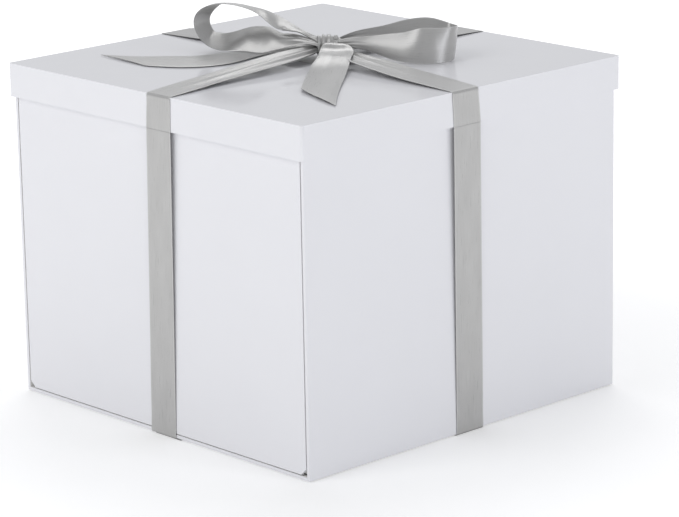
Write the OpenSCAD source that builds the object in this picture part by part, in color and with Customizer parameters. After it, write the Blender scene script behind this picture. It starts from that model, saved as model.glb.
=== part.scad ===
// Square rigid gift box with a lift-off lid, tied both ways with satin ribbon and a bow.
// X runs along the front, Y to the back, Z up; the origin is the centre of the footprint.

/* [Box] */
// Outer length of the lid, along X
lid_l = 320; // [280:5:400]
// Outer width of the lid, along Y
lid_w = 320; // [280:5:400]
// Height from the table to the top of the lid
box_h = 254; // [180:2:320]
// Depth of the lid's skirt
skirt_d = 25; // [20:1:60]
// Gap between the lid and the box, each side
lid_clear = 0.4; // [0.2:0.1:1.5]
// Radius of the lid's upright corners
lid_r = 2.5; // [0.5:0.25:2.5]

/* [Boards and paper] */
// Greyboard of the walls
wall_t = 2.25; // [1.5:0.25:3.5]
// Greyboard of the base
base_t = 2.25; // [1.5:0.25:3.5]
// Greyboard of the lid, top and skirts
lid_t = 2.25; // [1.5:0.25:3.5]
// Board of the loose floor insert
insert_t = 2; // [1:0.25:3]
// Covering paper
paper_t = 0.25; // [0.15:0.05:0.4]
// Depth of the lid's paper turned in over the skirt's lower edge
turn_in = 14; // [8:1:18]

/* [Drop front] */
// Gap between the front panel and each side wall
panel_gap = 1; // [0.5:0.25:2]
// Gutter between the base and the front panel, where the paper folds
gutter = 0.8; // [0.4:0.1:2]
// Size of the front panel's cut lower corners
corner_cut = 5; // [2:0.5:10]
// Distance from the top of the walls down to the front panel's top edge
panel_drop = 1; // [0.5:0.5:4]
// Width of each flap behind the front panel
flap_w = 40; // [25:1:70]
// Width of the tape strip on each flap
tape_w = 12; // [8:1:20]
// Thickness of the tape strip
tape_t = 0.45; // [0.45:0.05:0.8]

/* [Inside] */
// Width of each leg of the paper hinge strips
strip_w = 15; // [8:1:22]
// Gap between the floor insert and the walls and flaps
insert_clear = 1; // [0.8:0.1:3]

/* [Ribbon] */
// Width of the ribbon
ribbon_w = 28; // [20:1:40]
// Thickness of the ribbon
ribbon_t = 0.4; // [0.3:0.05:0.6]
// Middle of the band that runs front to back, from the box's middle
band_x = 7; // [-20:1:20]
// Middle of the band that runs side to side, from the box's middle
band_y = 1; // [-20:1:20]

/* [Bow] */
// Direction of the bow, from left loop to right loop, from +X towards +Y
bow_turn = 46; // [20:1:70]
// Place of the knot along X
knot_x = 10; // [0:1:20]
// Place of the knot along Y
knot_y = 7; // [-5:1:15]
// Radius of the knot
knot_r = 9; // [7:0.5:12]
// Length of the knot along the bow
knot_l = 16; // [12:1:24]
// Thickness of the ribbon in the bow, with its folds
bow_t = 1.2; // [1:0.1:2]
// Reach of the left loop from the knot's middle
left_reach = 104; // [80:1:115]
// Height of the left loop
left_tall = 34; // [30:1:50]
// Turn of the left loop towards the back, away from the line of the bow
left_turn = 26; // [0:2:30]
// Reach of the right loop from the knot's middle
right_reach = 94; // [80:1:110]
// Depth of the right loop, front band to back band
right_deep = 36; // [26:1:44]
// Distance that the right loop's round end lies in front of the line of the bow
right_swing = 7; // [0:1:10]
// Length of the front tail to its point
front_tail_l = 164; // [120:1:170]
// Length of the left tail to its point
left_tail_l = 170; // [140:1:180]
// Length of the slanting cut at the end of each tail
tail_cut = 52; // [20:1:70]

/* [Hidden] */
$fn = 64;
eps = 0.01;
// Levels above the table: two layers of ribbon, the base, the lid and the top of the walls
base_z = 2 * ribbon_t;
floor_z = base_z + paper_t + base_t;
insert_z = floor_z + paper_t;
skirt_z = box_h - skirt_d;
lid_board_z = box_h - paper_t - lid_t;
wall_z = lid_board_z - paper_t;
// Half sizes of the lid's outside, then of the box's outside, boards and inside
lid_x = lid_l / 2;
lid_y = lid_w / 2;
lid_wall = 2 * paper_t + lid_t;
out_x = lid_x - lid_wall - lid_clear;
out_y = lid_y - lid_wall - lid_clear;
core_x = out_x - paper_t;
core_y = out_y - paper_t;
in_x = core_x - wall_t;
in_y = core_y - wall_t;
// Front panel, its inner face, and the front and back faces of the flaps
panel_x = in_x - panel_gap;
panel_z = floor_z + gutter;
panel_top = wall_z - panel_drop;
flap_front = -in_y + tape_t;
flap_back = flap_front + wall_t;
flap_z = insert_z + 1;
tape_inset = 10;
// The bow's centre height, and the level that its loops and tails clear the bands by
knot_z = box_h + ribbon_t + knot_r;
lie_z = box_h + ribbon_t + 0.1;
knot_end = knot_l / 2;
stem_r = 3.5;
left_lift = 4;
// Half width of the left loop where it is gathered at the knot, and where it has its full width
gather_w = 7;
gather_l = 45;
step_run = 2;

WHITE = "white";
PAPER = "whitesmoke";
BOARD = "lightgrey";
SATIN = "silver";

// A block between two corners
module block(low, high) {
    translate(low) cube(high - low);
}

// An upright slab of half sizes x and y, with round upright corners
module round_slab(x, y, z0, z1, r) {
    translate([0, 0, z0]) linear_extrude(z1 - z0) {
        square([2 * x - 2 * r, 2 * y], center = true);
        square([2 * x, 2 * y - 2 * r], center = true);
        for (sx = [-1, 1], sy = [-1, 1]) translate([sx * (x - r), sy * (y - r)]) circle(r);
    }
}

// A profile drawn in Y and Z, extruded from x0 to x1
module along_x(x0, x1) {
    translate([x0, 0, 0]) rotate([90, 0, 90]) linear_extrude(x1 - x0) children();
}

// A profile drawn in X and Z, extruded from y0 to y1
module along_y(y0, y1) {
    translate([0, y1, 0]) rotate([90, 0, 0]) linear_extrude(y1 - y0) children();
}

// ---- box ----

module base_board() {
    color(BOARD) block([-in_x, -core_y, base_z + paper_t], [in_x, in_y, floor_z]);
}

// Paper under the base, turned up over its front edge
module base_wrap() {
    color(WHITE) {
        block([-in_x, -out_y, base_z], [in_x, in_y, base_z + paper_t]);
        block([-in_x, -out_y, base_z], [in_x, -core_y, floor_z]);
    }
}

module side_panel(side) {
    color(BOARD) scale([side, 1, 1])
        block([in_x, -core_y, base_z], [core_x, core_y, wall_z]);
}

module left_panel() { side_panel(-1); }
module right_panel() { side_panel(1); }

module back_panel() {
    color(BOARD) block([-in_x, in_y, base_z], [in_x, core_y, wall_z]);
}

// One sheet of paper round the left, back and right walls, turned over their front edges
module body_wrap() {
    color(WHITE) difference() {
        block([-out_x, -out_y, base_z], [out_x, out_y, wall_z]);
        block([-core_x, -core_y, base_z - 1], [core_x, core_y, wall_z + 1]);
        block([-in_x, -out_y - 1, base_z - 1], [in_x, -core_y + eps, wall_z + 1]);
    }
}

// Outline of the front panel, with its lower corners cut, smaller all round by inset
module panel_outline(inset) {
    half = panel_x - inset;
    low = panel_z + inset;
    top = panel_top - inset;
    polygon([
        [-half, low + corner_cut], [-half + corner_cut, low],
        [half - corner_cut, low], [half, low + corner_cut],
        [half, top], [-half, top]
    ]);
}

module front_panel() {
    color(BOARD) along_y(-core_y, -in_y) panel_outline(paper_t);
}

// Paper over the front panel's face and edges
module front_panel_wrap() {
    color(WHITE) difference() {
        along_y(-out_y, -in_y) panel_outline(0);
        along_y(-core_y, -in_y + 1) panel_outline(paper_t);
    }
}

module flap(side) {
    color(BOARD) scale([side, 1, 1])
        block([in_x - flap_w, flap_front, flap_z], [in_x, flap_back, panel_top]);
}

module left_flap() { flap(-1); }
module right_flap() { flap(1); }

// Double-sided tape that holds the front panel to a flap
module flap_tape(side) {
    middle = in_x - flap_w / 2 - panel_gap;
    color(PAPER) scale([side, 1, 1])
        block([middle - tape_w / 2, -in_y, flap_z + strip_w + tape_inset],
              [middle + tape_w / 2, flap_front, panel_top - tape_inset]);
}

module left_flap_tape() { flap_tape(-1); }
module right_flap_tape() { flap_tape(1); }

// L-shaped paper strip in the corner between the base and a wall, its wall towards -Y
module strip_profile(wall) {
    translate([-wall, floor_z]) {
        square([strip_w, paper_t]);
        square([paper_t, strip_w]);
    }
}

module front_hinge_strip() {
    color(PAPER) along_x(-panel_x + corner_cut, panel_x - corner_cut) strip_profile(in_y);
}

module back_hinge_strip() {
    color(PAPER) mirror([0, 1, 0]) along_x(-in_x, in_x) strip_profile(in_y);
}

module side_hinge_strip(side) {
    color(PAPER) scale([side, 1, 1]) mirror([1, 0, 0])
        along_y(-in_y + strip_w, in_y - strip_w) strip_profile(in_x);
}

module left_hinge_strip() { side_hinge_strip(-1); }
module right_hinge_strip() { side_hinge_strip(1); }

// L-shaped paper strip up the corner between the back wall and a side wall
module corner_strip(side) {
    low = floor_z + strip_w;
    color(PAPER) scale([side, 1, 1]) {
        block([in_x - strip_w, in_y - paper_t, low], [in_x, in_y, wall_z]);
        block([in_x - paper_t, in_y - strip_w, low], [in_x, in_y, wall_z]);
    }
}

module back_left_corner_strip() { corner_strip(-1); }
module back_right_corner_strip() { corner_strip(1); }

module floor_insert() {
    color(WHITE) block([-in_x + insert_clear, flap_back + insert_clear, insert_z],
                       [in_x - insert_clear, in_y - insert_clear, insert_z + insert_t]);
}

// ---- lid ----

module lid_top_board() {
    color(BOARD) round_slab(lid_x - paper_t, lid_y - paper_t, lid_board_z, lid_board_z + lid_t,
                            max(lid_r - paper_t, 0.2));
}

// The ring of the four skirt boards, cut to one of them
module skirt_piece(low, high) {
    color(BOARD) intersection() {
        difference() {
            round_slab(lid_x - paper_t, lid_y - paper_t, skirt_z + paper_t, lid_board_z,
                       max(lid_r - paper_t, 0.2));
            block([-lid_x + paper_t + lid_t, -lid_y + paper_t + lid_t, skirt_z],
                  [lid_x - paper_t - lid_t, lid_y - paper_t - lid_t, box_h]);
        }
        block(low, high);
    }
}

module end_skirt(side) {
    near = lid_y - paper_t - lid_t;
    scale([1, side, 1]) skirt_piece([-lid_x, near, skirt_z], [lid_x, lid_y, box_h]);
}

module side_skirt(side) {
    near = lid_x - paper_t - lid_t;
    far = lid_y - paper_t - lid_t;
    scale([side, 1, 1]) skirt_piece([near, -far, skirt_z], [lid_x, far, box_h]);
}

module lid_front_skirt() { end_skirt(-1); }
module lid_back_skirt() { end_skirt(1); }
module lid_left_skirt() { side_skirt(-1); }
module lid_right_skirt() { side_skirt(1); }

// Paper over the lid's top and skirts, turned in over the skirts' lower edges
module lid_wrap() {
    board_x = lid_x - paper_t;
    board_y = lid_y - paper_t;
    hollow_x = board_x - lid_t;
    hollow_y = board_y - lid_t;
    color(WHITE) difference() {
        round_slab(lid_x, lid_y, skirt_z, box_h, lid_r);
        difference() {
            round_slab(board_x, board_y, skirt_z + paper_t, lid_board_z + lid_t,
                       max(lid_r - paper_t, 0.2));
            block([-hollow_x, -hollow_y, skirt_z - 1], [hollow_x, hollow_y, skirt_z + turn_in]);
        }
        block([-hollow_x + paper_t, -hollow_y + paper_t, skirt_z - 1],
              [hollow_x - paper_t, hollow_y - paper_t, skirt_z + turn_in + 1]);
    }
}

// Lining paper under the lid's top board
module lid_liner() {
    gap = lid_wall + paper_t;
    color(WHITE) block([-lid_x + gap, -lid_y + gap, lid_board_z - paper_t],
                       [lid_x - gap, lid_y - gap, lid_board_z]);
}

// ---- ribbon ----

module ribbon_under_y() {
    color(SATIN) block([band_x - ribbon_w / 2, -out_y - ribbon_t, 0],
                       [band_x + ribbon_w / 2, out_y + ribbon_t, ribbon_t]);
}

// The band under the box from side to side steps up over the other one
module ribbon_under_x() {
    end = out_x + ribbon_t;
    left = band_x - ribbon_w / 2;
    right = band_x + ribbon_w / 2;
    lower = [[-end, 0], [left - step_run, 0], [left, ribbon_t],
             [right, ribbon_t], [right + step_run, 0], [end, 0]];
    upper = [for (i = [5:-1:0]) lower[i] + [0, ribbon_t]];
    color(SATIN) along_y(band_y - ribbon_w / 2, band_y + ribbon_w / 2)
        polygon(concat(lower, upper));
}

// Profile of a band that hangs from the lid's lower edge to the foot of a wall
module drop_profile(wall, edge) {
    polygon([[wall, ribbon_t], [wall + ribbon_t, ribbon_t],
             [edge + ribbon_t, skirt_z], [edge, skirt_z]]);
}

module front_back_drop(side) {
    color(SATIN) scale([1, side, 1])
        along_x(band_x - ribbon_w / 2, band_x + ribbon_w / 2) drop_profile(out_y, lid_y);
}

module side_drop(side) {
    color(SATIN) scale([side, 1, 1])
        along_y(band_y - ribbon_w / 2, band_y + ribbon_w / 2) drop_profile(out_x, lid_x);
}

module ribbon_front_drop() { front_back_drop(-1); }
module ribbon_back_drop() { front_back_drop(1); }
module ribbon_left_drop() { side_drop(-1); }
module ribbon_right_drop() { side_drop(1); }

// Profile of a band that runs from the crossing over the lid's edge and down its skirt
module band_profile(start, edge) {
    polygon([[start, box_h], [edge, box_h], [edge, skirt_z], [edge + ribbon_t, skirt_z],
             [edge + ribbon_t, box_h + ribbon_t], [start, box_h + ribbon_t]]);
}

module front_back_band(side) {
    color(SATIN) scale([1, side, 1])
        along_x(band_x - ribbon_w / 2, band_x + ribbon_w / 2)
            band_profile(ribbon_w / 2 + side * band_y, lid_y);
}

module side_band(side) {
    color(SATIN) scale([side, 1, 1])
        along_y(band_y - ribbon_w / 2, band_y + ribbon_w / 2)
            band_profile(ribbon_w / 2 + side * band_x, lid_x);
}

module ribbon_front_band() { front_back_band(-1); }
module ribbon_back_band() { front_back_band(1); }
module ribbon_left_band() { side_band(-1); }
module ribbon_right_band() { side_band(1); }

module ribbon_crossing() {
    color(SATIN) block([band_x - ribbon_w / 2, band_y - ribbon_w / 2, box_h],
                       [band_x + ribbon_w / 2, band_y + ribbon_w / 2, box_h + ribbon_t]);
}

// ---- bow: drawn along +X, then turned about the knot ----

module bow_place() {
    translate([knot_x, knot_y, 0]) rotate([0, 0, bow_turn]) children();
}

module bow_knot() {
    color(SATIN) bow_place() translate([-knot_end, 0, knot_z]) rotate([0, 90, 0])
        cylinder(h = knot_l, r = knot_r);
}

// Outline of a loop from the knot out to its reach: a wide round end and a narrow stem
module loop_outline(reach, stem_y, end_y, end_r, inset) {
    hull() {
        translate([knot_end, stem_y]) circle(stem_r - inset, $fn = 32);
        translate([reach - end_r, end_y]) circle(end_r - inset, $fn = 48);
    }
}

module loop_ring(reach, stem_y, end_y, end_r) {
    difference() {
        loop_outline(reach, stem_y, end_y, end_r, 0);
        loop_outline(reach, stem_y, end_y, end_r, bow_t);
    }
}

// Plan of the left loop, narrow at the knot
module gathered_plan() {
    half = ribbon_w / 2;
    end = -left_reach - 1;
    polygon([[0, -gather_w], [0, gather_w], [-gather_l, half],
             [end, half], [end, -half], [-gather_l, -half]]);
}

// The left loop stands upright, so its ring is drawn in X and Z
module bow_left_loop() {
    low = box_h + left_lift;
    color(SATIN) bow_place() intersection() {
        rotate([0, 0, -left_turn]) intersection() {
            mirror([1, 0, 0]) along_y(-ribbon_w / 2, ribbon_w / 2)
                loop_ring(left_reach, knot_z + knot_r / 3, low + left_tall / 2, left_tall / 2);
            translate([0, 0, box_h]) linear_extrude(2 * left_tall) gathered_plan();
        }
        block([-2 * left_reach, -left_reach, box_h], [-knot_end, left_reach, box_h + 2 * left_tall]);
    }
}

// The right loop lies on its edge, so its ring is drawn in X and Y
module bow_right_loop() {
    color(SATIN) bow_place() intersection() {
        translate([0, 0, lie_z]) linear_extrude(ribbon_w)
            loop_ring(right_reach, 0, -right_swing, right_deep / 2);
        block([knot_end, -right_reach, box_h], [2 * right_reach, right_reach, box_h + 2 * ribbon_w]);
    }
}

// The front tail leaves the knot towards the near corner, slopes down and lies on the lid
module bow_front_tail() {
    slope_end = -4 * knot_r;
    low = lie_z;
    end = -front_tail_l;
    color(SATIN) bow_place() intersection() {
        along_x(-ribbon_w / 2, ribbon_w / 2) polygon([
            [-knot_r, knot_z], [slope_end, low], [end, low],
            [end, low + bow_t], [slope_end, low + bow_t], [-knot_r, knot_z + bow_t]
        ]);
        translate([0, 0, box_h]) linear_extrude(4 * knot_r) polygon([
            [-knot_end, 0], [knot_end, 0], [knot_end, -ribbon_w / 2],
            [ribbon_w / 2, slope_end], [ribbon_w / 2, end],
            [-ribbon_w / 2, end + tail_cut], [-ribbon_w / 2, slope_end], [-knot_end, -ribbon_w / 2]
        ]);
    }
}

// The left tail runs out under the left loop and lies on the lid
module bow_left_tail() {
    slope_end = -4 * knot_r;
    low = lie_z;
    end = -left_tail_l;
    color(SATIN) bow_place() intersection() {
        along_y(-ribbon_w / 2, ribbon_w / 2) polygon([
            [-knot_end, knot_z - knot_r / 2], [slope_end, low], [end, low],
            [end, low + bow_t], [slope_end, low + bow_t], [-knot_end, knot_z - knot_r / 2 + bow_t]
        ]);
        translate([0, 0, box_h]) linear_extrude(4 * knot_r) polygon([
            [0, -ribbon_w / 2], [0, ribbon_w / 2],
            [end, ribbon_w / 2], [end + tail_cut, -ribbon_w / 2]
        ]);
    }
}

base_board();
base_wrap();
left_panel();
right_panel();
back_panel();
body_wrap();
front_panel();
front_panel_wrap();
left_flap();
right_flap();
left_flap_tape();
right_flap_tape();
front_hinge_strip();
back_hinge_strip();
left_hinge_strip();
right_hinge_strip();
back_left_corner_strip();
back_right_corner_strip();
floor_insert();
lid_top_board();
lid_front_skirt();
lid_back_skirt();
lid_left_skirt();
lid_right_skirt();
lid_wrap();
lid_liner();
ribbon_under_y();
ribbon_under_x();
ribbon_front_drop();
ribbon_back_drop();
ribbon_left_drop();
ribbon_right_drop();
ribbon_front_band();
ribbon_back_band();
ribbon_left_band();
ribbon_right_band();
ribbon_crossing();
bow_knot();
bow_left_loop();
bow_right_loop();
bow_front_tail();
bow_left_tail();
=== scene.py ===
"""Looks for the ribbon-tied gift box: paper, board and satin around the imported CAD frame."""

import math

import bpy
import numpy as np
from mathutils import Matrix, Vector


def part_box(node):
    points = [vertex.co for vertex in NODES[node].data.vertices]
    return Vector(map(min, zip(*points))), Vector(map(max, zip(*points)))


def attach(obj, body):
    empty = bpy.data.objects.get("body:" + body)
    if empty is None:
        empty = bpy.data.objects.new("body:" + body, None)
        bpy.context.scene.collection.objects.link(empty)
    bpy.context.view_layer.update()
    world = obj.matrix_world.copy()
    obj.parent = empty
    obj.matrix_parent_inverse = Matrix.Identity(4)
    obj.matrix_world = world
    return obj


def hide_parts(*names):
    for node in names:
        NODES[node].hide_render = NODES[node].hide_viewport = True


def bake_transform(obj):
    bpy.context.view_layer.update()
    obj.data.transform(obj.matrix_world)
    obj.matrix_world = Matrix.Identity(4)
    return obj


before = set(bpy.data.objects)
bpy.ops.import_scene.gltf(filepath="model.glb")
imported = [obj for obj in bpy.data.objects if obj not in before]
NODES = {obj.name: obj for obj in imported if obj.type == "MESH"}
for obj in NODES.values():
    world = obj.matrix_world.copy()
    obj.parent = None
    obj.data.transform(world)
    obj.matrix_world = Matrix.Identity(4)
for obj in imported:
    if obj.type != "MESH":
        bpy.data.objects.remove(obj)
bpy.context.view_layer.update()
MM = 0.001

# ---- places taken from the CAD ----

LID_LOW, LID_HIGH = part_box("lid_wrap")
WALL_LOW, WALL_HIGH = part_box("body_wrap")
KNOT_LOW, KNOT_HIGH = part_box("bow_knot")
CROSS_LOW, CROSS_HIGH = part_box("ribbon_crossing")
LID_TOP = LID_HIGH.z
SKIRT_LOW = LID_LOW.z
LID_X = LID_HIGH.x
LID_Y = LID_HIGH.y
WALL_X = WALL_HIGH.x
WALL_Y = -WALL_LOW.y
WIDTH = CROSS_HIGH.x - CROSS_LOW.x

# ---- sizes of the ribbon and its mesh ----

THICK = 0.35 * MM
KNOT_THICK = 0.5 * MM
WALL_GAP = 0.3 * MM
FINE_STEPS = 12

# The bow's own axes: U from left loop to right loop, V towards the viewer, height from the lid
BOW_TURN = math.radians(46)
BOW_U = np.array([math.cos(BOW_TURN), math.sin(BOW_TURN), 0.0])
BOW_V = np.array([math.sin(BOW_TURN), -math.cos(BOW_TURN), 0.0])
UP = np.array([0.0, 0.0, 1.0])
BOW_ORIGIN = np.array([(KNOT_LOW.x + KNOT_HIGH.x) / 2, (KNOT_LOW.y + KNOT_HIGH.y) / 2, LID_TOP])


def bow(points):
    """Places in millimetres along the bow's axes, as points in the shared frame."""
    p = np.array(points, float) * MM
    return BOW_ORIGIN + p[..., :1] * BOW_U + p[..., 1:2] * BOW_V + p[..., 2:3] * UP


def on_lid(points):
    """Places in millimetres in X, Y and height above the lid, as points in the shared frame."""
    return np.array(points, float) * MM + np.array([0.0, 0.0, LID_TOP])


# ---- splines and strips ----


def spline(points, count):
    """A natural cubic curve through the points, with count even steps in each span."""
    pts = np.array(points, float)
    flat = pts.reshape(len(pts), -1)
    n = len(flat)
    gaps = np.sqrt(np.maximum(np.linalg.norm(np.diff(flat, axis=0), axis=1), 1e-7))
    t = np.concatenate([[0.0], np.cumsum(gaps)])
    if n < 3:
        steps = np.linspace(0, 1, count + 1)[:, None]
        return (flat[:1] * (1 - steps) + flat[1:] * steps).reshape(-1, *pts.shape[1:])
    h = np.diff(t)
    system = np.zeros((n, n))
    system[0, 0] = system[-1, -1] = 1
    right = np.zeros_like(flat)
    for i in range(1, n - 1):
        system[i, i - 1], system[i, i], system[i, i + 1] = h[i - 1], 2 * (h[i - 1] + h[i]), h[i]
        right[i] = 3 * ((flat[i + 1] - flat[i]) / h[i] - (flat[i] - flat[i - 1]) / h[i - 1])
    c = np.linalg.solve(system, right)
    out = []
    for i in range(n - 1):
        b = (flat[i + 1] - flat[i]) / h[i] - h[i] * (2 * c[i] + c[i + 1]) / 3
        d = (c[i + 1] - c[i]) / (3 * h[i])
        last = 1 if i == n - 2 else 0
        for s in np.linspace(0, h[i], count + 1)[: count + last]:
            out.append(flat[i] + b * s + c[i] * s**2 + d * s**3)
    return np.array(out).reshape(-1, *pts.shape[1:])


def grid_normals(grid):
    """The direction square to the grid at each of its points."""
    along = np.gradient(grid, axis=0)
    across = np.gradient(grid, axis=1)
    n = np.cross(along, across)
    return n / np.maximum(np.linalg.norm(n, axis=2, keepdims=True), 1e-12)


def resample(stations, rows, per):
    """A grid through the stations: per steps from one to the next, and rows points across."""
    lengthwise = spline(stations, per)
    out = []
    for line in lengthwise:
        fine = spline(line, FINE_STEPS)
        gaps = np.linalg.norm(np.diff(fine, axis=0), axis=1)
        t = np.concatenate([[0.0], np.cumsum(gaps)])
        want = np.linspace(0, t[-1], rows)
        out.append(np.stack([np.interp(want, t, fine[:, k]) for k in range(3)], axis=1))
    return np.array(out)


def mesh_from_grid(name, grid, closed=False):
    """A smooth mesh with one quad a cell. Its cloth map is in metres, across and then along."""
    m, rows = grid.shape[:2]
    faces = []
    for i in range(m - 1 + int(closed)):
        for j in range(rows - 1):
            a, b = i * rows + j, ((i + 1) % m) * rows + j
            faces.append((a, a + 1, b + 1, b))
    mesh = bpy.data.meshes.new(name)
    mesh.from_pydata([tuple(p) for p in grid.reshape(-1, 3)], [], faces)
    middle = grid[:, rows // 2]
    steps = np.linalg.norm(np.diff(middle, axis=0, append=middle[:1]), axis=1)
    along = np.concatenate([[0.0], np.cumsum(steps)])
    layer = mesh.uv_layers.new(name="cloth")
    for poly in mesh.polygons:
        poly.use_smooth = True
        row_pair = poly.index // (rows - 1)
        for loop in poly.loop_indices:
            v = mesh.loops[loop].vertex_index
            i, j = divmod(v, rows)
            far = row_pair + 1 if i != row_pair else i
            layer.data[loop].uv = (j / (rows - 1) * WIDTH, along[far])
    obj = bpy.data.objects.new(name, mesh)
    bpy.context.scene.collection.objects.link(obj)
    return obj


def thicken(obj, thick=THICK):
    """Closes a sheet into a thin solid, whose broad faces keep their own shading at the rims."""
    solid = obj.modifiers.new("thickness", "SOLIDIFY")
    solid.thickness = thick
    solid.offset = 0.0
    solid.use_even_offset = False
    solid.use_rim = True
    obj.modifiers.new("flat_edges", "WEIGHTED_NORMAL").mode = "FACE_AREA"
    return obj


def satin_strip(name, stations, rows, per, folds=None):
    """A ribbon through its stations. folds(s, t) raises it, along and across, both 0 to 1."""
    grid = resample(stations, rows, per)
    if folds is not None:
        s = np.linspace(0, 1, grid.shape[0])[:, None]
        t = np.linspace(0, 1, grid.shape[1])[None, :]
        grid = grid + grid_normals(grid) * (folds(s, t) * MM)[..., None]
    obj = thicken(mesh_from_grid(name, grid))
    obj.data.materials.append(SATIN)
    return obj


# ---- material helpers ----


class Nodes:
    """Builds one node material around a Principled shader."""

    def __init__(self, name):
        self.material = bpy.data.materials.new(name)
        self.material.use_nodes = True
        self.tree = self.material.node_tree
        self.shader = self.tree.nodes["Principled BSDF"]

    def link(self, source, target):
        self.tree.links.new(source, target)

    def node(self, kind, **values):
        n = self.tree.nodes.new(kind)
        for key, value in values.items():
            setattr(n, key, value)
        return n

    def place(self):
        """The point being shaded, in metres."""
        return self.node("ShaderNodeTexCoord").outputs["Object"]

    def scaled(self, vector, scale):
        n = self.node("ShaderNodeMapping")
        n.inputs["Scale"].default_value = scale
        self.link(vector, n.inputs["Vector"])
        return n.outputs["Vector"]

    def noise(self, vector, scale, detail, rough=0.55):
        n = self.node("ShaderNodeTexNoise")
        n.inputs["Scale"].default_value = scale
        n.inputs["Detail"].default_value = detail
        n.inputs["Roughness"].default_value = rough
        self.link(vector, n.inputs["Vector"])
        return n.outputs["Fac"]

    def maths(self, operation, first, second=None):
        n = self.node("ShaderNodeMath", operation=operation)
        for socket, value in zip(n.inputs, (first, second)):
            if isinstance(value, (int, float)):
                socket.default_value = value
            elif value is not None:
                self.link(value, socket)
        return n.outputs[0]

    def spread(self, value, low, high, out_low, out_high):
        """Maps low to high onto out_low to out_high, and clamps beyond them."""
        n = self.node("ShaderNodeMapRange")
        for socket, number in zip(list(n.inputs)[1:5], (low, high, out_low, out_high)):
            socket.default_value = number
        self.link(value, n.inputs["Value"])
        return n.outputs["Result"]

    def ramp(self, value, *stops):
        n = self.node("ShaderNodeValToRGB")
        points = n.color_ramp.elements
        while len(points) < len(stops):
            points.new(0.5)
        for point, (where, colour) in zip(points, stops):
            point.position = where
            point.color = (*colour, 1.0)
        self.link(value, n.inputs["Fac"])
        return n.outputs["Color"]

    def bump(self, height, distance, strength, under=None):
        n = self.node("ShaderNodeBump")
        n.inputs["Strength"].default_value = strength
        n.inputs["Distance"].default_value = distance
        self.link(height, n.inputs["Height"])
        if under is not None:
            self.link(under, n.inputs["Normal"])
        return n.outputs["Normal"]

    def set(self, **values):
        """Constants on the shader's own sockets, with _ for each blank in a socket's name."""
        for key, value in values.items():
            self.shader.inputs[key.replace("_", " ")].default_value = value


# ---- materials ----


def gloss_paper(name, colour, dark):
    """White laminated art paper: a glossy film over faint board waviness and fine peel."""
    n = Nodes(name)
    place = n.place()
    tone = n.noise(place, 9.0, 3.0)
    n.link(n.ramp(tone, (0.3, dark), (0.7, colour)), n.shader.inputs["Base Color"])
    haze = n.noise(place, 60.0, 5.0)
    n.link(n.spread(haze, 0.3, 0.7, 0.07, 0.12), n.shader.inputs["Roughness"])
    waves = n.bump(n.noise(place, 14.0, 2.0), 0.2 * MM, 0.25)
    peel = n.bump(n.noise(place, 900.0, 2.0), 0.003 * MM, 0.4, waves)
    n.link(peel, n.shader.inputs["Normal"])
    n.set(IOR=1.5)
    return n.material


def plain_paper(name, colour, dark, rough):
    """Uncoated paper: soft fibres in colour and height."""
    n = Nodes(name)
    place = n.place()
    fibre = n.noise(n.scaled(place, (300.0, 900.0, 500.0)), 1.0, 6.0, 0.65)
    n.link(n.ramp(fibre, (0.3, dark), (0.7, colour)), n.shader.inputs["Base Color"])
    n.link(n.spread(fibre, 0.3, 0.7, rough - 0.06, rough + 0.06), n.shader.inputs["Roughness"])
    n.link(n.bump(fibre, 0.03 * MM, 0.5), n.shader.inputs["Normal"])
    return n.material


def lined_board():
    """Greyboard under matt white paper: faint fibres over the board's pressed lumps."""
    n = Nodes("lined_greyboard")
    place = n.place()
    lumps = n.noise(place, 120.0, 6.0, 0.7)
    fibres = n.noise(n.scaled(place, (1500.0, 1100.0, 700.0)), 1.0, 3.0, 0.6)
    mixed = n.maths("ADD", n.maths("MULTIPLY", lumps, 0.5), n.maths("MULTIPLY", fibres, 0.5))
    colour = n.ramp(
        mixed,
        (0.32, (0.70, 0.69, 0.67)),
        (0.5, (0.80, 0.795, 0.78)),
        (0.7, (0.84, 0.835, 0.82)),
    )
    n.link(colour, n.shader.inputs["Base Color"])
    n.link(n.spread(fibres, 0.3, 0.7, 0.66, 0.82), n.shader.inputs["Roughness"])
    n.link(n.bump(mixed, 0.06 * MM, 0.5), n.shader.inputs["Normal"])
    return n.material


def mounting_tape():
    """Double-sided tape: a milky, slightly yellow film with tiny bubbles."""
    n = Nodes("mounting_tape")
    place = n.place()
    cloud = n.noise(place, 260.0, 4.0)
    cells = n.node("ShaderNodeTexVoronoi")
    cells.inputs["Scale"].default_value = 900.0
    n.link(place, cells.inputs["Vector"])
    n.link(
        n.ramp(cloud, (0.3, (0.62, 0.60, 0.53)), (0.7, (0.74, 0.72, 0.66))),
        n.shader.inputs["Base Color"],
    )
    n.link(n.spread(cloud, 0.3, 0.7, 0.28, 0.42), n.shader.inputs["Roughness"])
    n.link(n.bump(cells.outputs["Distance"], 0.03 * MM, 0.5), n.shader.inputs["Normal"])
    return n.material


def waves_of(n, value, pitch):
    """A sine wave along value, one wave in each pitch."""
    return n.maths("SINE", n.maths("MULTIPLY", value, 2 * math.pi / pitch))


def satin_colour(n, streaks, clouds, selvedge):
    tone = n.maths("ADD", n.maths("MULTIPLY", streaks, 0.55), n.maths("MULTIPLY", clouds, 0.45))
    body = n.ramp(tone, (0.3, (0.405, 0.401, 0.395)), (0.7, (0.485, 0.482, 0.475)))
    mix = n.node("ShaderNodeMix", data_type="RGBA")
    n.link(n.maths("MULTIPLY", selvedge, 0.6), mix.inputs["Factor"])
    n.link(body, mix.inputs["A"])
    mix.inputs["B"].default_value = (0.56, 0.56, 0.55, 1.0)
    return mix.outputs["Result"]


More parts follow.
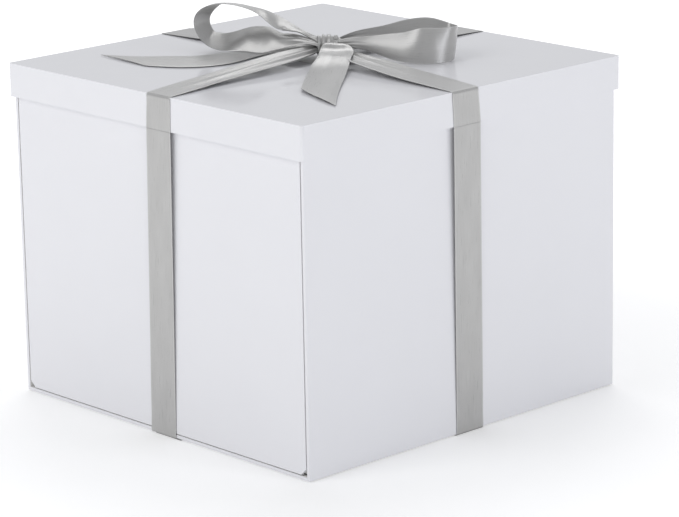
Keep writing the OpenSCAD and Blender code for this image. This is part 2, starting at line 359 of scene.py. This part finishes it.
def satin():
    """Grey satin ribbon: warp streaks, fine weft ribs and a raised selvedge at both edges."""
    n = Nodes("satin_ribbon")
    cloth = n.node("ShaderNodeUVMap", uv_map="cloth")
    parts = n.node("ShaderNodeSeparateXYZ")
    n.link(cloth.outputs["UV"], parts.inputs["Vector"])
    across, along = parts.outputs["X"], parts.outputs["Y"]
    streaks = n.noise(n.scaled(cloth.outputs["UV"], (2600.0, 45.0, 1.0)), 1.0, 3.0, 0.6)
    clouds = n.noise(n.scaled(cloth.outputs["UV"], (90.0, 30.0, 1.0)), 1.0, 3.0, 0.5)
    rib_pitch, thread_pitch = 0.42 * MM, 0.3 * MM
    weave = n.maths("MULTIPLY", waves_of(n, along, rib_pitch), waves_of(n, across, thread_pitch))
    centre = n.maths("ABSOLUTE", n.maths("SUBTRACT", across, WIDTH / 2))
    selvedge_start, selvedge_full = WIDTH / 2 - 1.1 * MM, WIDTH / 2 - 0.7 * MM
    selvedge = n.spread(centre, selvedge_start, selvedge_full, 0.0, 1.0)
    n.link(satin_colour(n, streaks, clouds, selvedge), n.shader.inputs["Base Color"])
    n.link(n.spread(streaks, 0.3, 0.7, 0.27, 0.32), n.shader.inputs["Roughness"])
    edge = n.bump(selvedge, 0.12 * MM, 0.6)
    woven = n.bump(weave, 0.012 * MM, 0.5, edge)
    n.link(n.bump(streaks, 0.02 * MM, 0.35, woven), n.shader.inputs["Normal"])
    tangent = n.node("ShaderNodeTangent", direction_type="UV_MAP", uv_map="cloth")
    n.link(tangent.outputs["Tangent"], n.shader.inputs["Tangent"])
    n.set(Metallic=0.5, Anisotropic=0.6, Sheen_Weight=0.35, Sheen_Roughness=0.5)
    return n.material


GLOSS = gloss_paper("gloss_paper", (0.80, 0.80, 0.83), (0.785, 0.785, 0.815))
LINING = plain_paper("lining_paper", (0.82, 0.815, 0.80), (0.74, 0.735, 0.72), 0.62)
INSERT = plain_paper("insert_board", (0.80, 0.795, 0.78), (0.71, 0.705, 0.69), 0.5)
BOARD = lined_board()
TAPE = mounting_tape()
SATIN = satin()


# ---- CAD nodes that keep their shape ----


WELD_REACH = 0.002 * MM
ROUNDING_ANGLE = math.radians(40)

BOARDS = (
    "base_board", "left_panel", "right_panel", "back_panel", "front_panel", "left_flap",
    "right_flap", "lid_top_board", "lid_front_skirt", "lid_back_skirt", "lid_left_skirt",
    "lid_right_skirt",
)
WRAPS = ("base_wrap", "body_wrap", "front_panel_wrap")
LININGS = (
    "front_hinge_strip", "back_hinge_strip", "left_hinge_strip", "right_hinge_strip",
    "back_left_corner_strip", "back_right_corner_strip", "lid_liner",
)
TAPES = ("left_flap_tape", "right_flap_tape")


def dress(name, material, width):
    """Gives a CAD node its material, and a small rounding of its edges."""
    obj = NODES[name]
    obj.data.materials.clear()
    obj.data.materials.append(material)
    obj.modifiers.new("weld", "WELD").merge_threshold = WELD_REACH
    bevel = obj.modifiers.new("rounding", "BEVEL")
    bevel.width = width
    bevel.segments = 3
    bevel.limit_method = "ANGLE"
    bevel.angle_limit = ROUNDING_ANGLE
    bevel.harden_normals = True


def dress_box():
    for name in BOARDS:
        dress(name, BOARD, 0.3 * MM)
    for name in WRAPS:
        dress(name, GLOSS, 0.1 * MM)
    dress("lid_wrap", GLOSS, 0.7 * MM)
    for name in LININGS:
        dress(name, LINING, 0.08 * MM)
    dress("floor_insert", INSERT, 0.3 * MM)
    for name in TAPES:
        dress(name, TAPE, 0.1 * MM)


# ---- ribbon round the box ----


def smooth(x):
    """A soft step from 0 to 1."""
    x = np.clip(x, 0.0, 1.0)
    return x * x * (3 - 2 * x)


def knot_pleats(reach, height, waves, phase, fine_height=0.0, fine_waves=0.0):
    """Pleats across a band that fade away from the knot, over reach of the band's length."""

    def folds(s, t):
        near_knot = 1 - smooth((s - 0.02) / reach)
        coarse = height * np.sin(t * waves * math.pi + phase)
        return near_knot * (coarse + fine_height * np.sin(t * fine_waves * math.pi))

    return folds


# The band's turn over the lid's edge, in millimetres. Its centre lies inwards of the edge and
# below the top by the same distance.
TURN_CENTRE = -1.55
TURN_RADIUS = 2.0
TURN_ANGLES = (0, 22.5, 45, 67.5, 90)
BELOW_TURN = (0.4, -4.0)
MID_SKIRT_GAP = 0.35
LOW_SKIRT_GAP = 0.3


def band_over_edge(inner, at_edge, at_skirt, side, axis):
    """Stations of a band from the knot to the lid's edge, round it, and down the skirt.

    inner holds rows of points over the lid. at_edge and at_skirt are where the band's two sides
    cross the lid's edge and the skirt's lower edge, all in millimetres."""
    reach = (LID_X if axis == 0 else LID_Y) / MM
    skirt_foot = (SKIRT_LOW - LID_TOP) / MM

    def at(low, high, out, height):
        row = []
        for where in (low, (low + high) / 2, high):
            point = [0.0, 0.0, height]
            point[axis], point[1 - axis] = side * out, where
            row.append(point)
        return row

    bend = []
    for angle in TURN_ANGLES:
        out = TURN_CENTRE + TURN_RADIUS * math.sin(math.radians(angle))
        height = TURN_CENTRE + TURN_RADIUS * math.cos(math.radians(angle))
        bend.append((out, height))
    bend.append(BELOW_TURN)
    rest = [at(*at_edge, reach + out, height) for out, height in bend]
    between = [(a + b) / 2 for a, b in zip(at_edge, at_skirt)]
    rest.append(at(*between, reach + MID_SKIRT_GAP, skirt_foot / 2))
    rest.append(at(*at_skirt, reach + LOW_SKIRT_GAP, skirt_foot + 1.0))
    rest.append(at(*at_skirt, reach + LOW_SKIRT_GAP, skirt_foot))
    return on_lid(inner + rest)


def lid_band(name, stations, rows, folds):
    strip = satin_strip(name, stations, rows=rows, per=7, folds=folds)
    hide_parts("ribbon_" + name)
    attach(strip, "lid")


def front_band():
    inner = [
        [(0, 2, 8.4), (4, 0, 8), (8, -2.5, 6.2)],
        [(-6.5, -17, 7.4), (3.5, -19, 7), (13.5, -21, 5.4)],
        [(-8.6, -43, 6.1), (4.4, -44, 6), (17, -45, 4.6)],
        [(-6.4, -76, 4.5), (6, -77, 4.6), (18.3, -78, 3.4)],
        [(-4.2, -107, 3), (8, -107.5, 3.1), (20.2, -108, 2.4)],
        [(-2.8, -137, 1.5), (10, -137.5, 1.6), (22.8, -138, 1.2)],
    ]
    stations = band_over_edge(inner, (-0.8, 24.4), (-2.2, 23.7), side=-1, axis=1)
    lid_band("front_band", stations, 25, knot_pleats(0.42, 1.3, 4.2, 0.6, 0.3, 11))


def right_band():
    inner = [
        [(16, 4, 7), (17, 8, 7.4), (16, 13, 7)],
        [(28, -3, 6.2), (28, 6, 6.6), (27, 15, 6.2)],
        [(48, -8.6, 5.3), (48, 4, 5.6), (48, 16.4, 5)],
        [(68, -11.4, 4.4), (68, 2.3, 4.7), (68, 16, 4.2)],
        [(97, -14.8, 3.1), (97, -0.6, 3.2), (97, 13.6, 3)],
        [(124, -16, 1.9), (124, -2, 2), (124, 12.2, 1.9)],
    ]
    stations = band_over_edge(inner, (-16.5, 9.4), (-15.2, 11.5), side=1, axis=0)
    lid_band("right_band", stations, 25, knot_pleats(0.34, 1.1, 4.6, 1.0, 0.4, 9))


def left_band():
    inner = [
        [(-2, 9, 7), (-4, 4, 7.6), (-3, 0, 6.6)],
        [(-14, 14, 6), (-15, 5, 6.6), (-14, -3, 5.8)],
        [(-36, 17, 4.6), (-37, 5, 5.2), (-38, -7, 4.4)],
        [(-66, 17.5, 3.4), (-66, 4.5, 3.7), (-66, -9, 3.4)],
        [(-114, 17.3, 1.8), (-114, 3.5, 1.9), (-114, -10.5, 1.8)],
    ]
    stations = band_over_edge(inner, (17.0, -11.0), (17.0, -11.0), side=-1, axis=0)
    lid_band("left_band", stations, 21, knot_pleats(0.3, 0.9, 4.4, 0.4))


def back_band():
    inner = [
        [(6, 14, 7), (11, 16, 7.6), (14, 13, 6.8)],
        [(-4, 30, 5.6), (7, 31, 6.4), (17, 30, 5.6)],
        [(-6.5, 56, 4.3), (6.5, 56, 4.7), (19.5, 56, 4.3)],
        [(-7, 88, 3), (6.6, 88, 3.2), (20, 88, 3)],
        [(-7, 124, 1.6), (6.5, 124, 1.7), (20, 124, 1.6)],
    ]
    stations = band_over_edge(inner, (-7.0, 20.0), (-7.0, 20.0), side=1, axis=1)
    lid_band("back_band", stations, 21, knot_pleats(0.3, 0.9, 4.8, 0.9))


FOOT_START = 1.2 * MM
FOOT_END = 0.5 * MM
FOOT_TUCK = 0.25 * MM
DROP_SHARES = (1.0, 0.96, 0.86, 0.7, 0.5, 0.3, 0.12, 0.04, 0.0)


def drop(name, node, axis, side, top, foot):
    """A band down one wall, from the lid's lower edge to the foot of the wall, where it tucks in.

    top and foot are where its two edges are there, in millimetres."""
    reach = LID_X if axis == 0 else LID_Y
    wall = WALL_X if axis == 0 else WALL_Y
    stations = []
    for share in DROP_SHARES:
        z = FOOT_START + share * (SKIRT_LOW - FOOT_START)
        out = wall + share * (reach - wall) + WALL_GAP
        pair = []
        for low, high in zip(foot, top):
            point = [0.0, 0.0, z]
            point[axis] = side * out
            point[1 - axis] = (low + share * (high - low)) * MM
            pair.append(point)
        stations.append(pair)
    edges = [list(stations[-1][0]), list(stations[-1][1])]
    for point in edges:
        point[axis] -= side * FOOT_TUCK
        point[2] = FOOT_END
    stations.append(edges)
    strip = satin_strip(name, stations, rows=9, per=8)
    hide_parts(node)
    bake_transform(strip)


def drops():
    drop("front_drop", "ribbon_front_drop", 1, -1, (-2.2, 23.7), (-11.4, 15.8))
    drop("back_drop", "ribbon_back_drop", 1, 1, (-7.0, 20.0), (-7.0, 20.4))
    drop("left_drop", "ribbon_left_drop", 0, -1, (17.0, -11.0), (15.4, -12.2))
    drop("right_drop", "ribbon_right_drop", 0, 1, (-15.2, 11.5), (-11.8, 15.4))


# Stations of the band from side to side, in half widths from the middle of the one it crosses,
# and its two levels as shares of its height
UNDER_STATIONS = (12.0, 8.0, 4.0, 2.2, 1.8, 1.5, 1.36, 1.0, 0.8)
RAISED_LEVEL = 0.75
FLAT_LEVEL = 0.27


def under_bands():
    """The two bands under the base, the one from side to side stepping over the other."""
    low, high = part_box("ribbon_under_y")
    z = (low.z + high.z) / 2
    stations = [[(low.x, y, z), (high.x, y, z)] for y in np.linspace(low.y, high.y, 7)]
    first = satin_strip("under_band_y", stations, rows=7, per=4)
    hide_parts("ribbon_under_y")
    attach(first, "box")
    over_low, over_high = low.x, high.x
    low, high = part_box("ribbon_under_x")
    step = high.z - low.z
    middle, half = (over_low + over_high) / 2, (over_high - over_low) / 2
    stations = []
    for away in [-share for share in UNDER_STATIONS] + [0.0] + list(UNDER_STATIONS[::-1]):
        x = min(max(middle + away * half, low.x), high.x)
        z = low.z + step * (RAISED_LEVEL if abs(away) <= 1.0 else FLAT_LEVEL)
        stations.append([(x, low.y, z), (x, high.y, z)])
    second = satin_strip("under_band_x", stations, rows=7, per=4)
    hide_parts("ribbon_under_x")
    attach(second, "box")


def crossing():
    """The square of ribbon under the knot, where the bands cross."""
    low, high = CROSS_LOW, CROSS_HIGH
    z = (low.z + high.z) / 2
    stations = [[(low.x, y, z), (high.x, y, z)] for y in np.linspace(low.y, high.y, 4)]
    patch = satin_strip("crossing", stations, rows=9, per=4)
    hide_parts("ribbon_crossing")
    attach(patch, "lid")


# ---- the bow, in millimetres along its own axes ----

LEFT_LOOP = [
    [(-5, 2.5, 12), (-5, -0.5, 13), (-5, -5, 14.4)],
    [(-8.4, -4, 13.4), (-8.3, -1, 13.8), (-8.4, -6, 16)],
    [(-14.2, -9, 15.2), (-14.1, -4, 15.7), (-14.1, -9, 17.8)],
    [(-23, -14, 18.8), (-22.8, -7, 19.4), (-22, -15, 21)],
    [(-32, -13, 19.6), (-31, -9.5, 20.8), (-30, -21, 24.8)],
    [(-39.9, -9, 22.7), (-40, -18, 26.7), (-39.9, -30, 28.8)],
    [(-47.2, -12, 28), (-47.5, -23, 32.2), (-47.4, -36, 31)],
    [(-54.7, -17, 33), (-55.1, -29, 34), (-55.5, -41, 32.4)],
    [(-65, -20.5, 36.6), (-65.6, -33.5, 35.4), (-65.2, -47, 33.6)],
    [(-79.4, -27, 37.8), (-79, -40.5, 36.2), (-77.7, -54, 33.6)],
    [(-93.8, -30, 34.5), (-90.5, -42, 33.4), (-84.6, -54, 30.6)],
    [(-100.7, -29, 26.4), (-96.4, -41, 25.4), (-90, -52, 23.4)],
    [(-98.6, -26, 15.6), (-94.4, -38.5, 15), (-88.6, -50, 15.4)],
    [(-90.5, -23, 7), (-88, -35, 8.6), (-84, -46, 12.3)],
    [(-77.8, -20, 3.8), (-75.6, -29.5, 8), (-72.5, -42, 13.6)],
    [(-64, -15.5, 4.2), (-62.5, -21, 12.4), (-59.5, -38, 17.8)],
    [(-51.5, -10, 3.8), (-50.5, -16.5, 12.6), (-48.1, -31, 19.6)],
    [(-43, -7.5, 5.4), (-42.6, -13, 14), (-41.6, -27, 18.6)],
    [(-33.5, -5, 8), (-33.4, -9, 13), (-35, -20, 16.4)],
    [(-23.4, -2, 10.6), (-23.8, -7, 13.6), (-26, -16, 16.6)],
    [(-14, 1.5, 11.6), (-14, -2, 12.6), (-14.6, -7.5, 14)],
    [(-5, 4.5, 9.6), (-5, 1, 11), (-5, -3, 11.6)],
]
RIGHT_LOOP = [
    [(7, 5, 9.5), (7, 5.4, 12.6), (7, 4, 15.8)],
    [(18.5, 6.5, 9.4), (18.5, 7, 13.2), (18.5, 4, 17)],
    [(30.4, 10, 7.2), (30.4, 10.6, 12.6), (30.5, 7, 18.4)],
    [(45, 18.5, 3.2), (45, 17.6, 12), (45.2, 12, 21)],
    [(55, 24, 1.8), (55.2, 22.6, 12.2), (55.6, 16, 22.7)],
    [(68, 27.6, 1.0), (68.2, 25.8, 13.8), (68, 20, 26.2)],
    [(80, 25, 0.8), (80.6, 23, 13.2), (81, 18, 25.8)],
    [(88.6, 18.6, 1.0), (90, 16.6, 13.2), (91.4, 13, 25.8)],
    [(92, 8, 1.4), (93.6, 6, 12.6), (94.6, 3, 24.6)],
    [(88, -3, 1.6), (89, -7.5, 12.6), (90, -12, 23.4)],
    [(79, -4, 1.8), (79.4, -9.5, 14), (80, -14, 26.4)],
    [(69.5, -4, 2.4), (69.8, -10.5, 14.8), (70.2, -15, 27.6)],
    [(55, -4, 4), (55.2, -9.6, 15), (55.4, -13, 26.2)],
    [(40.4, -3, 7), (40.4, -7, 15), (40.4, -9, 23.2)],
    [(20.7, -1, 10.5), (20.7, -3, 16), (20.7, -3.4, 20.6)],
    [(7, 0, 10), (7, -1.5, 13.4), (7, -1, 16)],
]
FRONT_TAIL = [
    [(-2.6, 1.4, 12), (3.6, 2, 12.4), (9, 1.4, 12)],
    [(-3.8, 7.6, 13.4), (4.6, 9.2, 13.6), (13.6, 8, 12.4)],
    [(-6.2, 12.4, 10.2), (5.2, 14.6, 10.4), (17.6, 13.4, 9.6)],
    [(-8.2, 25, 7), (4.4, 27, 8.4), (16.7, 27, 7.2)],
    [(-12.2, 36, 3.4), (1.4, 39, 5.2), (15.2, 39.5, 5.2)],
    [(-13.8, 48, 1.8), (0, 51, 3), (13.8, 53, 3.4)],
    [(-15.8, 66, 1.3), (-2.2, 70, 2.2), (10.9, 84, 1.7)],
    [(-18, 97, 1.2), (-5, 106, 2), (8, 118, 1.2)],
    [(-19, 112, 2.2), (-6.6, 139, 1.6), (6, 164, 1)],
]
LEFT_TAIL = [
    [(-6, -1, 9), (-6, -4, 11), (-5, -7, 11.5)],
    [(-18, -4, 7.4), (-17, -10, 9), (-16, -15, 9)],
    [(-34, -6.5, 5.2), (-33, -14.6, 7), (-32, -22, 6.6)],
    [(-52, -9, 1.7), (-52, -19, 2.6), (-52, -30, 3)],
    [(-66, 7.5, 1.2), (-68, -7, 2.5), (-71, -20.5, 2.8)],
    [(-80, 18.7, 0.9), (-82, 5, 2.6), (-84, -9.5, 3.6)],
    [(-98, 24, 0.8), (-99, 9.6, 2.5), (-101, -5, 3.2)],
    [(-116.4, 22.4, 0.8), (-117.5, 8, 2.3), (-119, -6.6, 3)],
    [(-131, 17.6, 0.8), (-136, 3.6, 1.9), (-142, -11.4, 2.2)],
    [(-136, 14.6, 0.8), (-153.4, -6.4, 1.2), (-171, -27, 0.8)],
]


def left_loop():
    def folds(s, t):
        ends = smooth((0.2 - np.minimum(s, 1 - s)) / 0.2)
        return ends * (0.9 * np.sin(t * 5 * math.pi + 0.3) + 0.3 * np.sin(t * 11 * math.pi))

    strip = satin_strip("bow_left_loop_ribbon", bow(LEFT_LOOP), rows=21, per=9, folds=folds)
    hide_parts("bow_left_loop")
    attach(strip, "lid")


def right_loop():
    def folds(s, t):
        ends = smooth((0.16 - np.minimum(s, 1 - s)) / 0.16)
        return ends * (0.5 * np.sin(t * 3 * math.pi + 0.8) + 0.25 * np.sin(t * 7 * math.pi))

    strip = satin_strip("bow_right_loop_ribbon", bow(RIGHT_LOOP), rows=21, per=9, folds=folds)
    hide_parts("bow_right_loop")
    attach(strip, "lid")


def front_tail():
    def folds(s, t):
        along_tail = smooth(s / 0.2) * (1 - 0.6 * s)
        coarse = 0.5 * np.sin(t * 2.6 * math.pi + 2.2 * s)
        return along_tail * (coarse + 0.12 * np.sin(t * 8 * math.pi))

    strip = satin_strip("bow_front_tail_ribbon", bow(FRONT_TAIL), rows=17, per=9, folds=folds)
    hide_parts("bow_front_tail")
    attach(strip, "lid")


def left_tail():
    def folds(s, t):
        near_knot = 1 - smooth(s / 0.3)
        return near_knot * 0.8 * np.sin(t * 5 * math.pi)

    strip = satin_strip("bow_left_tail_ribbon", bow(LEFT_TAIL), rows=15, per=9, folds=folds)
    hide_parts("bow_left_tail")
    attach(strip, "lid")


# The knot, in millimetres along the bow's axes. Angles round it are in radians from the top.
KNOT_TURNS = 64
KNOT_ROWS = 41
KNOT_LEFT = -8.6
KNOT_LENGTH = 16.6
KNOT_HEIGHT = 10.6
KNOT_RADIUS_V = 7.0
KNOT_RADIUS_H = 8.0
PIT_U = 5.2
PIT_ANGLE = 0.4
PIT_DEPTH = 6.4


def knot_point(angle, t):
    """The knot's surface at a turn round it and a share of the way along it."""
    u = KNOT_LEFT + KNOT_LENGTH * t + 0.8 * math.sin(angle + 0.6)
    crown = 1 - 0.2 * (2 * t - 1) ** 2 - 0.12 * t
    phase = t * 8 * math.pi + 1.6 * math.sin(4.5 * t) + 0.6 * math.sin(angle + 1.0)
    pleat = 0.86 * math.sin(phase) * (1 - 0.3 * t)
    pleat += 0.32 * math.sin(t * 19 * math.pi + 1.0 + angle)
    off_pit = ((u - PIT_U) / 1.7) ** 2 + ((angle - PIT_ANGLE) / 0.34) ** 2
    pit = PIT_DEPTH * math.exp(-off_pit) if angle < math.pi else 0.0
    radius_v = KNOT_RADIUS_V * crown + pleat - pit
    radius_h = KNOT_RADIUS_H * crown + pleat - pit
    return (u, radius_v * math.sin(angle), KNOT_HEIGHT + radius_h * math.cos(angle))


def knot():
    """The ribbon's middle wound once round the bow, gathered into pleats across its width."""
    grid = np.zeros((KNOT_TURNS, KNOT_ROWS, 3))
    for i in range(KNOT_TURNS):
        for j in range(KNOT_ROWS):
            grid[i, j] = knot_point(2 * math.pi * i / KNOT_TURNS, j / (KNOT_ROWS - 1))
    obj = mesh_from_grid("bow_knot_wrap", bow(grid), closed=True)
    thicken(obj, KNOT_THICK)
    obj.data.materials.append(SATIN)
    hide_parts("bow_knot")
    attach(obj, "lid")


# ---- stage, light and camera ----


FLOOR_HALF = 30.0
# The floor glows as painted light, weaker near the box, which paints a soft shade round the box's
# foot. The glow grows between these distances from the middle of the box, in metres
GLOW_FROM, GLOW_TO = 0.25, 0.75
GLOW_NEAR, GLOW_FAR = 0.20, 0.41


def painted_glow_floor():
    n = Nodes("studio_floor_painted_glow")
    place = n.place()
    tone = n.noise(place, 2.5, 3.0)
    n.link(
        n.ramp(tone, (0.3, (0.93, 0.93, 0.93)), (0.7, (0.95, 0.95, 0.95))),
        n.shader.inputs["Base Color"],
    )
    n.set(Roughness=0.9, Specular_IOR_Level=0.1)
    # Painted light: the floor glows, less near the box, as a painted shade round the box's foot
    n.shader.inputs["Emission Color"].default_value = (1.0, 1.0, 1.0, 1.0)
    reach = n.node("ShaderNodeVectorMath", operation="LENGTH")
    n.link(place, reach.inputs[0])
    glow = n.spread(reach.outputs["Value"], GLOW_FROM, GLOW_TO, GLOW_NEAR, GLOW_FAR)
    n.link(glow, n.shader.inputs["Emission Strength"])
    return n.material


def floor():
    half = FLOOR_HALF
    mesh = bpy.data.meshes.new("floor")
    corners = [(-half, -half, 0), (half, -half, 0), (half, half, 0), (-half, half, 0)]
    mesh.from_pydata(corners, [], [(0, 1, 2, 3)])
    obj = bpy.data.objects.new("floor", mesh)
    bpy.context.scene.collection.objects.link(obj)
    obj.data.materials.append(painted_glow_floor())


def area_light(name, place, target, size, power, colour=(1.0, 1.0, 1.0)):
    data = bpy.data.lights.new(name, "AREA")
    data.shape = "RECTANGLE"
    data.size, data.size_y = size
    data.energy = power
    data.color = colour
    obj = bpy.data.objects.new(name, data)
    bpy.context.scene.collection.objects.link(obj)
    obj.location = place
    obj.rotation_mode = "QUATERNION"
    obj.rotation_quaternion = (Vector(target) - Vector(place)).to_track_quat("-Z", "Y")


def lights():
    world = bpy.data.worlds.new("studio")
    bpy.context.scene.world = world
    world.use_nodes = True
    back = world.node_tree.nodes["Background"]
    back.inputs["Color"].default_value = (0.97, 0.98, 1.0, 1.0)
    back.inputs["Strength"].default_value = 0.6
    area_light("key", (-0.35, -2.3, 2.0), target=(0, 0, 0.15), size=(1.3, 2.0), power=17.0)
    area_light("top", (-0.95, 1.0, 2.1), target=(0, 0, 0.25), size=(1.4, 1.4), power=12.5)
    area_light(
        "side", (2.4, 0.55, 0.8), target=(0, 0, 0.2), size=(0.4, 1.4), power=6.0,
        colour=(0.92, 0.94, 1.0),
    )


CAMERA_PLACE = (1.6955, -1.5726, 0.7216)
CAMERA_YAW = math.radians(-46.74)
CAMERA_PITCH = math.radians(15.02)
CAMERA_ROLL = math.radians(-1.05)
CAMERA_LENS = 169.0


def camera():
    """The photographer's camera. Pitch is downwards, and yaw is from +Y towards +X."""
    data = bpy.data.cameras.new("camera")
    obj = bpy.data.objects.new("camera", data)
    bpy.context.scene.collection.objects.link(obj)
    yaw, pitch, roll = CAMERA_YAW, CAMERA_PITCH, CAMERA_ROLL
    level = Vector((math.sin(yaw), math.cos(yaw), 0.0))
    ahead = level * math.cos(pitch) - Vector((0.0, 0.0, math.sin(pitch)))
    right = Vector((math.cos(yaw), -math.sin(yaw), 0.0))
    up = right.cross(ahead)
    tilted_right = right * math.cos(roll) + up * math.sin(roll)
    tilted_up = up * math.cos(roll) - right * math.sin(roll)
    turn = Matrix((tilted_right, tilted_up, -ahead)).transposed()
    obj.matrix_world = Matrix.Translation(CAMERA_PLACE) @ turn.to_4x4()
    data.sensor_width = 36.0
    data.lens = CAMERA_LENS
    data.clip_start, data.clip_end = 0.05, 200.0
    bpy.context.scene.camera = obj


bpy.context.scene.view_settings.view_transform = "Standard"
dress_box()
front_band()
right_band()
left_band()
back_band()
drops()
under_bands()
crossing()
knot()
left_loop()
right_loop()
front_tail()
left_tail()
floor()
lights()
camera()
